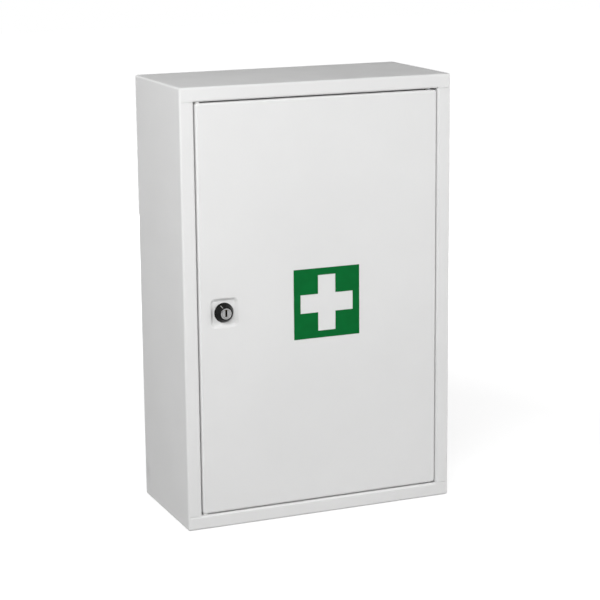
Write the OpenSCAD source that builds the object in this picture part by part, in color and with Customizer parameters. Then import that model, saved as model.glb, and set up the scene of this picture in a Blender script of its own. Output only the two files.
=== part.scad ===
// Lockable steel medicine cabinet for a wall: a folded sheet body, an inset door that turns on
// two pivot pins, a cam lock in a pressed recess, and two shelves on slotted uprights.
// Millimetres. The origin is the centre of the base. +X is to the right, +Y to the back, +Z up,
// and the door faces -Y.

/* [Cabinet body] */
// Outside width of the body
cabinet_w = 300; // [260:5:400]
// Outside height of the body
cabinet_h = 460; // [420:5:600]
// Outside depth of the body, without the lock
cabinet_d = 140; // [120:5:200]
// Thickness of the folded sheet steel
sheet_t = 0.8; // [0.6:0.1:1.2]
// Inside radius of the folded edges
bend_r = 1.6; // [1:0.1:2]
// Width of the frame round the door
frame_w = 15; // [13:0.5:18]
// Depth of the folded rebates at the top, the bottom and the hinge side
rebate_d = 12; // [11:0.5:14]
// Width of the stop lip behind the door's free edge
stop_lip_w = 9; // [8:0.5:12]
// Open seam where the upright frame strips butt against the top and bottom ones
frame_seam = 0.2; // [0.1:0.05:0.4]
// Depth of the weld in the upper corner seams, behind the frame's face
upper_weld_d = 0.25; // [0.1:0.05:0.6]
// Depth of the weld in the lower left corner seam, behind the frame's face
lower_weld_d = 0.5; // [0.1:0.05:0.6]
// Width of the welding flanges inside the body
weld_flange_w = 12; // [8:1:14]

/* [Wall fixing] */
// Radius of the fixing holes in the back
wall_hole_r = 3.5; // [2.5:0.25:5]
// Distance between the fixing holes across the back
wall_hole_span_x = 220; // [160:5:230]
// Distance between the fixing holes up the back
wall_hole_span_z = 360; // [300:5:370]

/* [Door] */
// Depth of the door's folded edges
door_d = 14.5; // [13.5:0.5:18]
// How much rounder the door's corners are than its folded edges
corner_extra_r = 0.2; // [0.1:0.1:3]
// Gap between the door and the frame at the lock side
gap_lock_side = 1.6; // [1.5:0.1:3]
// Gap between the door and the frame at the hinge side
gap_hinge_side = 1.2; // [1:0.1:2]
// Gap above the door
gap_top = 1.6; // [1.2:0.1:2.4]
// Gap below the door
gap_bottom = 1.4; // [1.2:0.1:2.4]

/* [Hinges] */
// Radius of the pivot pins
pin_r = 2; // [1.5:0.1:2.2]
// Distance of the pin's axis from the door's hinge edge
pin_inset = 8.8; // [8.5:0.1:11]
// Distance of the pin's axis behind the front face
pin_setback = 5.5; // [5.2:0.1:5.8]
// Radius of the pin's head
pin_head_r = 3.5; // [3:0.1:4]
// Height of the pin's head
pin_head_h = 1.5; // [1:0.1:2]
// Length of the plates that stiffen the sheet at each pin
hinge_plate_l = 22; // [18:1:30]
// Thickness of those plates
hinge_plate_t = 2; // [1.5:0.1:3]
// Outside radius of the spacer ring on each pin
spacer_r = 3; // [2.8:0.1:3.2]

/* [Lock] */
// Distance of the lock's axis from the door's free edge
lock_inset = 27.1; // [26:0.1:40]
// Distance of the lock's axis below the middle of the cabinet
lock_drop = 1.5; // [-20:0.5:20]
// Width of the pressed recess
recess_w = 31.5; // [30:0.5:36]
// Height of the pressed recess
recess_h = 32; // [30:0.5:36]
// Depth of the pressed recess
recess_d = 2.4; // [1.8:0.1:3]
// Width of the recess's sloping wall
recess_wall_w = 4.2; // [3:0.1:4.2]
// Corner radius of the recess
recess_corner_r = 6; // [5:0.5:9]
// Radius of the lock's head where it meets the recess
lock_base_r = 10.3; // [9:0.1:10.8]
// Radius of the flat rim at the front of the lock's head
lock_rim_r = 7.2; // [6.8:0.1:8.5]
// Height of the lock's head
lock_head_h = 7.2; // [5:0.1:9]
// Radius of the lock's barrel
barrel_r = 8; // [7:0.1:8.4]
// Distance between the two flats on the barrel
barrel_flats_w = 13.6; // [12.6:0.1:14]
// Distance across the flats of the lock's nut
nut_w = 20; // [18:0.5:21]
// Thickness of the lock's nut
nut_t = 3.5; // [2.5:0.5:5]
// Thickness of the toothed washer under the nut
tooth_washer_t = 0.8; // [0.5:0.1:1.2]
// Radius of the key plug's face
plug_face_r = 5.8; // [5.4:0.1:6.2]
// Radius of the key plug's body
plug_r = 5; // [4.6:0.1:5.2]
// How far the plug's face stands in front of the lock's head
plug_proud = 0.8; // [0.4:0.1:1.5]
// Radius of the dish round the keyhole
plug_dish_r = 4.6; // [4.2:0.1:4.9]
// Depth of the dish round the keyhole
plug_dish_d = 0.5; // [0.2:0.1:0.8]
// Height of the keyhole
keyhole_h = 7.6; // [6.5:0.1:7.8]
// Height of the keyhole's centre above the lock's axis
keyhole_rise = 0.7; // [0:0.1:0.7]
// Width of the keyhole
keyhole_w = 2.2; // [1.6:0.1:2.4]
// Number of wafers in the plug
wafer_count = 5; // [3:1:5]
// Length of the cam from the lock's axis to its tip
cam_l = 27; // [25:0.5:28]
// Width of the cam
cam_w = 13; // [11:0.5:15]
// Thickness of the cam
cam_t = 2; // [1.5:0.1:3]
// Space between the cam and the stop lip that it turns behind
cam_clear = 0.8; // [0.4:0.1:1.5]

/* [Shelves] */
// Slot of the uprights that carries the lower shelf, counted from the bottom
lower_shelf_slot = 4; // [2:1:5]
// Slot of the uprights that carries the upper shelf, counted from the bottom
upper_shelf_slot = 10; // [9:1:11]
// Distance between the slots
slot_pitch = 25; // [22:1:26]
// Depth of the uprights, from the side wall to their face
upright_d = 5; // [4.5:0.5:8]
// Width of the uprights' raised face
upright_w = 16; // [15:1:20]
// Width of the uprights' welding flanges
upright_flange_w = 7; // [5:0.5:9]
// Distance of the uprights' ends from the cabinet's top and base
upright_end_gap = 30; // [24:1:34]
// Height of the shelf's folded front edge
shelf_lip_h = 14; // [10:1:18]
// Width of the hem folded back under the shelf's front edge
shelf_hem_w = 6; // [4:0.5:8]
// Height of the shelf's folded rear edge
shelf_rear_h = 10; // [8:1:14]
// Gap round the shelf
shelf_gap = 1; // [0.5:0.1:2]
// Space between the lock's screw and the shelves' front edges
shelf_setback = 4; // [3:0.5:12]
// Thickness of the shelf clips
clip_t = 1.5; // [1.2:0.1:1.7]
// Width of the shelf clips
clip_w = 12; // [10:0.5:12.5]
// Length of the ledge under the shelf
clip_ledge_l = 11; // [8:0.5:16]
// Height of the clip's plate under its ledge
clip_plate_h = 10; // [8:0.5:13]

/* [Buffers and sign] */
// Radius of the door's rubber buffers
buffer_r = 3.5; // [2.5:0.1:3.6]
// Height of the rubber buffers
buffer_h = 2; // [1.5:0.1:3]
// Distance of the buffers from the frame's corners
buffer_end_gap = 45; // [30:1:90]
// Width of the nylon glides at the door's free corners
glide_w = 3.5; // [2:0.5:6]
// Length of the nylon glides
glide_l = 8; // [5:0.5:9]
// Side of the square first-aid sign
sign_w = 74; // [50:1:120]
// Length of the cross as a share of the sign's side
cross_share = 0.8; // [0.6:0.02:0.9]
// Thickness of the sign's film
sign_t = 0.3; // [0.2:0.05:0.5]
// Distance of the sign's centre to the right of the cabinet's middle
sign_right = 7.2; // [-10:0.1:40]
// Distance of the sign's centre below the cabinet's middle
sign_drop = 1; // [-60:0.5:60]

/* [Hidden] */
$fn = 64;

run_clear = 0.05;   // radial clearance of a shaft that turns in its hole
press_clear = 0.01; // radial clearance of a pin that is pressed in
seat_clear = 0.1;   // play where a moving piece sits next to a fixed one
buffer_clear = 0.2; // space between the closed door and its buffers
cut = 1;            // how far a cutting tool runs past what it cuts

edge_r = bend_r + sheet_t; // outside radius of the folded edges

// The frame's opening and the door in it.
opening_w = cabinet_w - 2 * frame_w;
opening_h = cabinet_h - 2 * frame_w;
door_w = opening_w - gap_lock_side - gap_hinge_side;
door_h = opening_h - gap_top - gap_bottom;
door_x = (gap_lock_side - gap_hinge_side) / 2;
door_z = frame_w + gap_bottom + door_h / 2;
door_corner_r = edge_r + corner_extra_r;
door_right_x = door_x + door_w / 2;
door_left_x = door_x - door_w / 2;
door_top_z = door_z + door_h / 2;
door_bottom_z = door_z - door_h / 2;

// Depths behind the front face.
stop_v = door_d + buffer_clear + buffer_h;
cam_v = stop_v + sheet_t + cam_clear;
cam_seat = 0.2;
barrel_end_v = cam_v - cam_seat;
head_front_v = recess_d - lock_head_h;
plug_front_v = head_front_v - plug_proud;
cam_washer_t = 1;
screw_head_h = 2.7;
lock_rear_v = cam_v + cam_t + cam_washer_t + screw_head_h;
shelf_front_v = lock_rear_v + shelf_setback;

// Places of the pins, the lock and the sign.
pin_x = door_right_x - pin_inset;
lock_x = door_left_x + lock_inset;
lock_z = cabinet_h / 2 - lock_drop;

// Uprights, slots and shelves.
inner_x = cabinet_w / 2 - sheet_t;
upright_face_x = inner_x - upright_d;
upright_t = 1;
upright_z = upright_end_gap;
upright_h = cabinet_h - 2 * upright_end_gap;
slot_margin = 15;
slot_count = floor((upright_h - 2 * slot_margin) / slot_pitch) + 1;
slot_h = clip_t + 0.7;
slot_w = clip_w + 0.8;
shelf_d = cabinet_d - sheet_t - shelf_gap - shelf_front_v;
upright_inset = 17;
front_upright_v = shelf_front_v + upright_inset;
rear_upright_v = shelf_front_v + shelf_d - upright_inset - 2;
function slot_z(n) = upright_z + slot_margin + n * slot_pitch;
function shelf_top_z(n) = slot_z(n) + clip_t / 2 + sheet_t;

paint = [0.90, 0.90, 0.89];
zinc = [0.72, 0.73, 0.75];
chrome = [0.80, 0.81, 0.83];
black = [0.06, 0.06, 0.06];
nylon = [0.93, 0.92, 0.88];
rubber = [0.20, 0.20, 0.21];
sign_green = [0.02, 0.42, 0.18];

// ---------------------------------------------------------------- shared shapes

// x stays x, y becomes height and z becomes depth behind the front face.
module from_front() {
    translate([0, -cabinet_d / 2, 0]) mirror([0, 1, 0]) rotate([90, 0, 0]) children();
}

// Extrudes a profile along X, centred: the profile's x becomes y and its y becomes z.
module along_x(length) {
    rotate([90, 0, 90]) translate([0, 0, -length / 2]) linear_extrude(length) children();
}

// A quarter of a folded edge in profile, in the quadrant that turn picks.
module quarter_band(turn, inside_r = bend_r, t = sheet_t) {
    rotate(turn) intersection() {
        difference() {
            circle(inside_r + t);
            circle(inside_r);
        }
        square(inside_r + t);
    }
}

module round_rect(w, h, r) {
    square([w, h - 2 * r], center = true);
    square([w - 2 * r, h], center = true);
    for (x = [-1, 1], y = [-1, 1])
        translate([x * (w / 2 - r), y * (h / 2 - r)]) circle(r);
}

// Sweeps a profile round a rounded rectangle. The profile's x runs inwards from the outline,
// up to the corner radius, and its y becomes z.
module rim(w, h, r) {
    for (side = [0:3]) {
        run = side % 2 == 0 ? w : h;
        reach = side % 2 == 0 ? h : w;
        rotate(side * 90) {
            translate([0, -reach / 2, 0]) along_x(run - 2 * r) children();
            translate([run / 2 - r, r - reach / 2, 0]) rotate(-90)
                rotate_extrude(angle = 90) translate([r, 0]) mirror([1, 0]) children();
        }
    }
}

module double_d(r, flats) {
    intersection() {
        circle(r);
        square([flats, 2 * r + cut], center = true);
    }
}

// ---------------------------------------------------------------- body

// Profiles of the body's plan: x runs in from the outer side face, y back from the front.
module side_profile() {
    translate([edge_r, edge_r]) quarter_band(180);
    translate([0, edge_r]) square([sheet_t, cabinet_d - 2 * edge_r]);
    translate([edge_r, cabinet_d - edge_r]) quarter_band(90);
}

module frame_strip_profile(depth) {
    translate([edge_r, 0]) square([frame_w - 2 * edge_r, sheet_t]);
    translate([frame_w - edge_r, edge_r]) quarter_band(270);
    translate([frame_w - sheet_t, edge_r]) square([sheet_t, depth - edge_r]);
}

module stop_lip_profile() {
    translate([frame_w + bend_r, stop_v - bend_r]) quarter_band(90);
    translate([frame_w + bend_r, stop_v]) square([stop_lip_w - bend_r, sheet_t]);
}

module on_left_side() {
    translate([-cabinet_w / 2, -cabinet_d / 2]) children();
}

module on_right_side() {
    mirror([1, 0]) on_left_side() children();
}

module wall_holes() {
    for (x = [-1, 1], z = [-1, 1])
        translate([x * wall_hole_span_x / 2, cabinet_d / 2 - sheet_t - cut,
                   cabinet_h / 2 + z * wall_hole_span_z / 2])
            rotate([-90, 0, 0]) cylinder(r = wall_hole_r, h = sheet_t + 2 * cut);
}

module body_wrap() {
    strip_z = frame_w + frame_seam;
    color(paint) difference() {
        union() {
            translate([0, 0, edge_r]) linear_extrude(cabinet_h - 2 * edge_r) {
                on_left_side() side_profile();
                on_right_side() side_profile();
                translate([edge_r - cabinet_w / 2, cabinet_d / 2 - sheet_t])
                    square([cabinet_w - 2 * edge_r, sheet_t]);
            }
            translate([0, 0, strip_z]) linear_extrude(cabinet_h - 2 * strip_z) {
                on_left_side() {
                    frame_strip_profile(stop_v - bend_r);
                    stop_lip_profile();
                }
                on_right_side() frame_strip_profile(rebate_d);
            }
        }
        wall_holes();
    }
}

// One end of the body: y runs back from the front and z inwards from the outer face. The
// frame's rounded inner edge runs on across the corners, except at one that is ground flush.
module end_pan(weld_d, flush_right = false) {
    flange_w = cabinet_w - 2 * edge_r;
    lip_w = cabinet_w - 2 * (frame_w - sheet_t);
    corner_w = (flange_w - lip_w) / 2;
    round_w = flush_right ? flange_w - corner_w : flange_w;
    translate([0, cabinet_d / 2, 0]) {
        linear_extrude(sheet_t) square([flange_w, cabinet_d - 2 * edge_r], center = true);
        rim(cabinet_w, cabinet_d, edge_r) translate([edge_r, edge_r]) quarter_band(180);
    }
    along_x(flange_w) translate([0, edge_r]) square([sheet_t, frame_w - 2 * edge_r]);
    translate([(round_w - flange_w) / 2, 0, 0]) along_x(round_w)
        translate([edge_r, frame_w - edge_r]) quarter_band(90);
    along_x(lip_w) translate([edge_r, frame_w - sheet_t]) square([rebate_d - edge_r, sheet_t]);
    for (side = [-1, 1])
        translate([side * (flange_w - corner_w) / 2, 0, 0]) along_x(corner_w)
            if (flush_right && side > 0)
                translate([0, frame_w - edge_r]) square([sheet_t, edge_r]);
            else
                seam_weld_profile(weld_d);
    weld_flanges();
}

// Weld that fills the corner seam up to depth d behind the frame's face.
module seam_weld_profile(d) {
    overlap = 0.3;
    translate([d, frame_w - edge_r + overlap])
        square([sheet_t + overlap - d, edge_r - overlap]);
}

// Flanges against the insides of the walls, which start within the pan's rounded edges.
module weld_flanges() {
    back_y = cabinet_d - sheet_t;
    start_y = stop_v + 2 * edge_r;
    height = weld_flange_w - bend_r;
    for (x = [-1, 1])
        translate([x * (inner_x - sheet_t / 2) - sheet_t / 2, start_y, bend_r])
            cube([sheet_t, back_y - edge_r - start_y, height]);
    translate([edge_r - inner_x, back_y - sheet_t, bend_r])
        cube([2 * (inner_x - edge_r), sheet_t, height]);
}

module top_pan() {
    color(paint) difference() {
        translate([0, -cabinet_d / 2, cabinet_h]) mirror([0, 0, 1]) end_pan(upper_weld_d);
        pin_hole(cabinet_h - frame_w, press_clear);
    }
}

module bottom_pan() {
    color(paint) difference() {
        translate([0, -cabinet_d / 2, 0]) end_pan(lower_weld_d, flush_right = true);
        pin_hole(frame_w, press_clear);
    }
}

// ---------------------------------------------------------------- hinges

module at_pin(z) {
    translate([pin_x, pin_setback - cabinet_d / 2, z]) children();
}

// A hole on the pins' axis, through the sheets next to height z.
module pin_hole(z, clearance) {
    reach = hinge_plate_t + sheet_t + cut;
    at_pin(z - reach) cylinder(r = pin_r + clearance, h = 2 * reach);
}

// A stiffening plate with its lower face at height z. It stays behind the sheet's front bend.
module hinge_plate(z, clearance) {
    front_y = edge_r - pin_setback;
    width = rebate_d - edge_r - sheet_t;
    end = pin_inset - door_corner_r - sheet_t;
    color(paint) difference() {
        at_pin(z) translate([end - hinge_plate_l, front_y, 0])
            cube([hinge_plate_l, width, hinge_plate_t]);
        pin_hole(z + hinge_plate_t / 2, clearance);
    }
}

module upper_frame_hinge_plate() {
    hinge_plate(cabinet_h - frame_w + sheet_t, press_clear);
}

module lower_frame_hinge_plate() {
    hinge_plate(frame_w - sheet_t - hinge_plate_t, press_clear);
}

module upper_door_hinge_plate() {
    hinge_plate(door_top_z - sheet_t - hinge_plate_t, run_clear);
}

module lower_door_hinge_plate() {
    hinge_plate(door_bottom_z + sheet_t, run_clear);
}

// A pin with its head down: pressed into the frame's plate, turning in the door's plate.
module hinge_pin(gap) {
    shank_h = hinge_plate_t + seat_clear + sheet_t + gap + sheet_t + hinge_plate_t;
    color(zinc) {
        cylinder(r1 = pin_head_r - 0.4, r2 = pin_head_r, h = 0.4);
        translate([0, 0, 0.4]) cylinder(r = pin_head_r, h = pin_head_h - 0.4);
        translate([0, 0, pin_head_h]) cylinder(r = pin_r, h = shank_h);
    }
}

module upper_hinge_pin() {
    at_pin(door_top_z - sheet_t - hinge_plate_t - seat_clear - pin_head_h) hinge_pin(gap_top);
}

module lower_hinge_pin() {
    at_pin(door_bottom_z + sheet_t + hinge_plate_t + seat_clear + pin_head_h)
        mirror([0, 0, 1]) hinge_pin(gap_bottom);
}

// A ring that keeps the door off the frame and carries its weight.
module hinge_spacer(gap) {
    color(zinc) difference() {
        cylinder(r = spacer_r, h = gap - seat_clear);
        translate([0, 0, -cut]) cylinder(r = pin_r + run_clear, h = gap + 2 * cut);
    }
}

module upper_hinge_spacer() {
    at_pin(door_top_z + seat_clear) hinge_spacer(gap_top);
}

module lower_hinge_spacer() {
    at_pin(frame_w) hinge_spacer(gap_bottom);
}

// ---------------------------------------------------------------- uprights and shelves

// A slotted hat section on the right side wall, centred at depth v behind the front face.
module upright(v) {
    color(paint) difference() {
        translate([upright_face_x, v - cabinet_d / 2, upright_z]) linear_extrude(upright_h) {
            translate([0, -upright_w / 2]) square([upright_t, upright_w]);
            for (y = [-upright_w / 2, upright_w / 2 - upright_t])
                translate([0, y]) square([upright_d, upright_t]);
            for (y = [-upright_w / 2 - upright_flange_w, upright_w / 2])
                translate([upright_d - upright_t, y]) square([upright_t, upright_flange_w]);
        }
        for (n = [0:slot_count - 1])
            translate([upright_face_x - cut, v - cabinet_d / 2 - slot_w / 2,
                       slot_z(n) - slot_h / 2])
                cube([upright_t + 2 * cut, slot_w, slot_h]);
    }
}

module right_front_upright() { upright(front_upright_v); }
module right_rear_upright() { upright(rear_upright_v); }
module left_front_upright() { mirror([1, 0, 0]) upright(front_upright_v); }
module left_rear_upright() { mirror([1, 0, 0]) upright(rear_upright_v); }

// A bent clip on the right-hand upright: the ledge's top is at height z, its hook hangs
// behind the upright's face and its plate lies on the front of it.
module shelf_clip(z) {
    hook_h = 5;
    translate([upright_face_x, -clip_w / 2, z]) {
        translate([-clip_ledge_l, 0, -clip_t])
            cube([clip_ledge_l + upright_t + clip_t, clip_w, clip_t]);
        translate([upright_t, 0, -hook_h]) cube([clip_t, clip_w, hook_h]);
        translate([-clip_t, 0, -clip_plate_h]) cube([clip_t, clip_w, clip_plate_h]);
    }
}

module shelf_clips(slot) {
    color(zinc) for (side = [0, 1], v = [front_upright_v, rear_upright_v])
        mirror([side, 0, 0]) translate([0, v - cabinet_d / 2, 0])
            shelf_clip(shelf_top_z(slot) - sheet_t);
}

// Profile of a shelf: x runs back from its front edge and y is height, 0 at its top.
module shelf_profile() {
    rest_r = sheet_t / 2;
    fold_r = rest_r + sheet_t;
    translate([fold_r, -sheet_t]) square([shelf_d - 2 * fold_r, sheet_t]);
    translate([fold_r, -fold_r]) quarter_band(90, rest_r);
    translate([0, fold_r - shelf_lip_h]) square([sheet_t, shelf_lip_h - 2 * fold_r]);
    translate([fold_r, fold_r - shelf_lip_h]) quarter_band(180, rest_r);
    translate([fold_r, -shelf_lip_h]) square([shelf_hem_w - fold_r, sheet_t]);
    translate([shelf_d - fold_r, -fold_r]) quarter_band(0, rest_r);
    translate([shelf_d - sheet_t, -shelf_rear_h]) square([sheet_t, shelf_rear_h - fold_r]);
}

module shelf(slot) {
    color(paint) translate([0, shelf_front_v - cabinet_d / 2, shelf_top_z(slot)])
        along_x(2 * (upright_face_x - shelf_gap)) shelf_profile();
}

module upper_shelf() { shelf(upper_shelf_slot); }
module lower_shelf() { shelf(lower_shelf_slot); }
module upper_shelf_clips() { shelf_clips(upper_shelf_slot); }
module lower_shelf_clips() { shelf_clips(lower_shelf_slot); }

// Rubber discs on the stop lip, which the door's free edge closes against.
module door_buffers() {
    x = -opening_w / 2 + bend_r + (stop_lip_w - bend_r) / 2;
    color(rubber) from_front()
        for (z = [frame_w + buffer_end_gap, cabinet_h - frame_w - buffer_end_gap])
            translate([x, z, stop_v - buffer_h]) {
                cylinder(r1 = buffer_r - 0.5, r2 = buffer_r, h = 0.5);
                translate([0, 0, 0.5]) cylinder(r = buffer_r, h = buffer_h - 0.5);
            }
}

// ---------------------------------------------------------------- door

// Profile of the door's folded edge: x runs in from the edge and y back from the front. It ends
// half way to the corner's centre, under the door's skin.
module door_edge_profile() {
    translate([edge_r, edge_r]) quarter_band(180);
    translate([0, edge_r]) square([sheet_t, door_d - edge_r]);
    translate([edge_r, 0]) square([corner_extra_r / 2, sheet_t]);
}

// Profile of the recess's wall, a smooth S: x runs in from the recess's edge and y back from
// the front. It runs on a little under the skin and the floor that it joins.
module recess_wall_profile() {
    joint_w = 0.3;
    steps = 8;
    front = [for (n = [0:steps])
        [recess_wall_w * n / steps, recess_d * (1 - cos(180 * n / steps)) / 2]];
    polygon(concat(
        [[-joint_w, sheet_t], [-joint_w, 0]], front,
        [[recess_wall_w + joint_w, recess_d], [recess_wall_w + joint_w, recess_d + sheet_t]],
        [for (n = [steps:-1:0]) front[n] + [0, sheet_t]]
    ));
}

module lock_recess() {
    rim(recess_w, recess_h, recess_corner_r) recess_wall_profile();
    translate([0, 0, recess_d]) linear_extrude(sheet_t) difference() {
        round_rect(recess_w - 2 * recess_wall_w, recess_h - 2 * recess_wall_w,
                   recess_corner_r - recess_wall_w);
        double_d(barrel_r + seat_clear, barrel_flats_w + 2 * seat_clear);
    }
}

module door_panel() {
    color(paint) difference() {
        from_front() {
            translate([door_x, door_z, 0]) rim(door_w, door_h, door_corner_r)
                door_edge_profile();
            linear_extrude(sheet_t) difference() {
                translate([door_x, door_z])
                    round_rect(door_w - 2 * edge_r, door_h - 2 * edge_r, corner_extra_r);
                translate([lock_x, lock_z]) round_rect(recess_w, recess_h, recess_corner_r);
            }
            translate([lock_x, lock_z, 0]) lock_recess();
        }
        pin_hole(door_top_z, run_clear);
        pin_hole(door_bottom_z, run_clear);
    }
}

// Pads in the gaps above and below the door's free corners.
module door_corner_glides() {
    slack = 0.4;
    color(nylon) from_front() for (top = [0, 1]) {
        gap = top == 1 ? gap_top : gap_bottom;
        z = top == 1 ? door_top_z : door_bottom_z - gap + slack;
        translate([door_left_x + door_corner_r / 2, z, edge_r / 2])
            cube([glide_w, gap - slack, glide_l]);
    }
}

// Green film with the cross cut out of it.
module first_aid_sign() {
    cross_l = sign_w * cross_share;
    arm_w = cross_l / 3;
    color(sign_green) from_front()
        translate([sign_right, cabinet_h / 2 - sign_drop, -sign_t]) linear_extrude(sign_t)
            difference() {
                square(sign_w, center = true);
                square([cross_l, arm_w], center = true);
                square([arm_w, cross_l], center = true);
            }
}

// ---------------------------------------------------------------- lock

module at_lock() {
    from_front() translate([lock_x, lock_z, 0]) children();
}

// The head and the barrel, with an index groove down the head towards the plug.
module lock_housing() {
    foot_h = 1;
    rim_bevel = 0.5;
    pocket_d = 3;
    rim_v = head_front_v + rim_bevel;
    index_angle = 119;
    index_w = 0.8;
    index_d = 0.3;
    index_share = 0.7;
    color(black) at_lock() difference() {
        union() {
            rotate_extrude() polygon([
                [0, head_front_v], [lock_rim_r - rim_bevel, head_front_v],
                [lock_rim_r, rim_v], [lock_base_r, recess_d - foot_h],
                [lock_base_r, recess_d], [0, recess_d]
            ]);
            translate([0, 0, recess_d]) linear_extrude(barrel_end_v - recess_d)
                double_d(barrel_r, barrel_flats_w);
        }
        translate([0, 0, head_front_v - cut])
            cylinder(r = plug_r + run_clear, h = barrel_end_v - head_front_v + 2 * cut);
        translate([0, 0, head_front_v - cut])
            cylinder(r = plug_face_r + run_clear, h = pocket_d + cut);
        rotate(index_angle) rotate([90, 0, 0]) linear_extrude(index_w, center = true) polygon([
            [lock_rim_r - index_d, head_front_v - cut], [lock_rim_r - index_d, rim_v],
            [lock_rim_r + index_share * (lock_base_r - lock_rim_r),
             rim_v + index_share * (recess_d - foot_h - rim_v)],
            [lock_base_r + cut, head_front_v - cut]
        ]);
    }
}

module lock_tooth_washer() {
    teeth = 16;
    outer_r = nut_w / 2 + 1;
    color(zinc) at_lock() translate([0, 0, recess_d + sheet_t]) linear_extrude(tooth_washer_t)
        difference() {
            circle(outer_r);
            circle(barrel_r + seat_clear);
            for (n = [0:teeth - 1])
                rotate(n * 360 / teeth) translate([outer_r, 0]) square([2, 1.4], center = true);
        }
}

module lock_nut() {
    color(zinc) at_lock() translate([0, 0, recess_d + sheet_t + tooth_washer_t])
        difference() {
            cylinder(r = nut_w / sqrt(3), h = nut_t, $fn = 6);
            translate([0, 0, -cut]) cylinder(r = barrel_r + run_clear, h = nut_t + 2 * cut);
        }
}

wafer_w = 4.6;
wafer_t = 1;
wafer_pitch = 2.4;
function wafer_v(n) = n * wafer_pitch;

// The turning core: a face with the keyhole, a body with wafer slots and a square tail.
module key_plug() {
    face_t = 2.8;
    tail_w = 7;
    key_d = 17.5;
    notch_angle = 150;
    notch_w = 1.6;
    notch_d = 0.9;
    color(chrome) at_lock() difference() {
        union() {
            translate([0, 0, plug_front_v]) {
                cylinder(r1 = plug_face_r - 0.4, r2 = plug_face_r, h = 0.4);
                translate([0, 0, 0.4])
                    cylinder(r = plug_face_r, h = face_t + plug_proud - 0.4);
            }
            translate([0, 0, plug_front_v + face_t])
                cylinder(r = plug_r, h = barrel_end_v - plug_front_v - face_t);
            translate([-tail_w / 2, -tail_w / 2, barrel_end_v - cut])
                cube([tail_w, tail_w, cam_seat + cam_t - seat_clear + cut]);
        }
        translate([0, 0, plug_front_v])
            cylinder(r1 = plug_dish_r, r2 = plug_dish_r - plug_dish_d, h = plug_dish_d);
        translate([-keyhole_w / 2, keyhole_rise - keyhole_h / 2, plug_front_v - cut])
            cube([keyhole_w, keyhole_h, key_d + cut]);
        rotate(notch_angle)
            translate([plug_face_r - notch_d, -notch_w / 2, plug_front_v - cut])
                cube([notch_d + cut, notch_w, plug_proud + cut]);
        for (n = [0:wafer_count - 1])
            translate([-wafer_w / 2 - seat_clear, -plug_r - cut, wafer_v(n) - seat_clear / 2])
                cube([wafer_w + 2 * seat_clear, 2 * (plug_r + cut), wafer_t + seat_clear]);
        screw_hole();
    }
}

screw_r = 2.5;
screw_in_d = 5;

module screw_hole() {
    translate([0, 0, cam_v + cam_t - screw_in_d - seat_clear])
        cylinder(r = screw_r + press_clear, h = screw_in_d + cut);
}

// Flat wafers drawn flush into the plug, each with its key window at a different height.
module lock_wafers() {
    window_h = 5;
    color("goldenrod") at_lock() for (n = [0:wafer_count - 1])
        translate([0, 0, wafer_v(n)]) linear_extrude(wafer_t) difference() {
            intersection() {
                square([wafer_w, 2 * plug_r], center = true);
                circle(plug_r - seat_clear);
            }
            translate([0, 0.35 * (n % 3 - 1)]) square([keyhole_w + 0.4, window_h], center = true);
        }
}

// The cam hangs straight down when the lock is open.
module lock_cam() {
    hub_r = 8.5;
    tail_hole_w = 7 + 2 * seat_clear;
    color(zinc) at_lock() translate([0, 0, cam_v]) linear_extrude(cam_t) difference() {
        union() {
            circle(hub_r);
            translate([-cam_w / 2, cam_w / 2 - cam_l]) square([cam_w, cam_l - cam_w / 2]);
            translate([0, cam_w / 2 - cam_l]) circle(cam_w / 2);
        }
        square(tail_hole_w, center = true);
    }
}

module cam_washer() {
    color(zinc) at_lock() translate([0, 0, cam_v + cam_t]) difference() {
        cylinder(r = 6.5, h = cam_washer_t);
        translate([0, 0, -cut]) cylinder(r = screw_r + seat_clear, h = cam_washer_t + 2 * cut);
    }
}

module cam_screw() {
    head_r = 4.5;
    head_v = cam_v + cam_t + cam_washer_t;
    recess_arm = 4.4;
    color(zinc) at_lock() difference() {
        union() {
            translate([0, 0, cam_v + cam_t - screw_in_d])
                cylinder(r = screw_r, h = screw_in_d + cam_washer_t + cut);
            translate([0, 0, head_v]) cylinder(r = head_r, h = screw_head_h - 0.8);
            translate([0, 0, head_v + screw_head_h - 0.8])
                cylinder(r1 = head_r, r2 = head_r - 1, h = 0.8);
        }
        for (turn = [0, 90])
            rotate(turn) translate([-recess_arm / 2, -0.5, head_v + 0.9])
                cube([recess_arm, 1, screw_head_h]);
    }
}

// ---------------------------------------------------------------- nodes

body_wrap();
top_pan();
bottom_pan();
upper_frame_hinge_plate();
lower_frame_hinge_plate();
upper_hinge_pin();
lower_hinge_pin();
upper_hinge_spacer();
lower_hinge_spacer();
left_front_upright();
left_rear_upright();
right_front_upright();
right_rear_upright();
upper_shelf();
lower_shelf();
upper_shelf_clips();
lower_shelf_clips();
door_buffers();
door_panel();
upper_door_hinge_plate();
lower_door_hinge_plate();
door_corner_glides();
first_aid_sign();
lock_housing();
lock_tooth_washer();
lock_nut();
key_plug();
lock_wafers();
lock_cam();
cam_washer();
cam_screw();
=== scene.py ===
import math

import bmesh
import bpy
from bpy.props import FloatProperty, FloatVectorProperty, PointerProperty
from mathutils import Matrix, Vector


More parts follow.
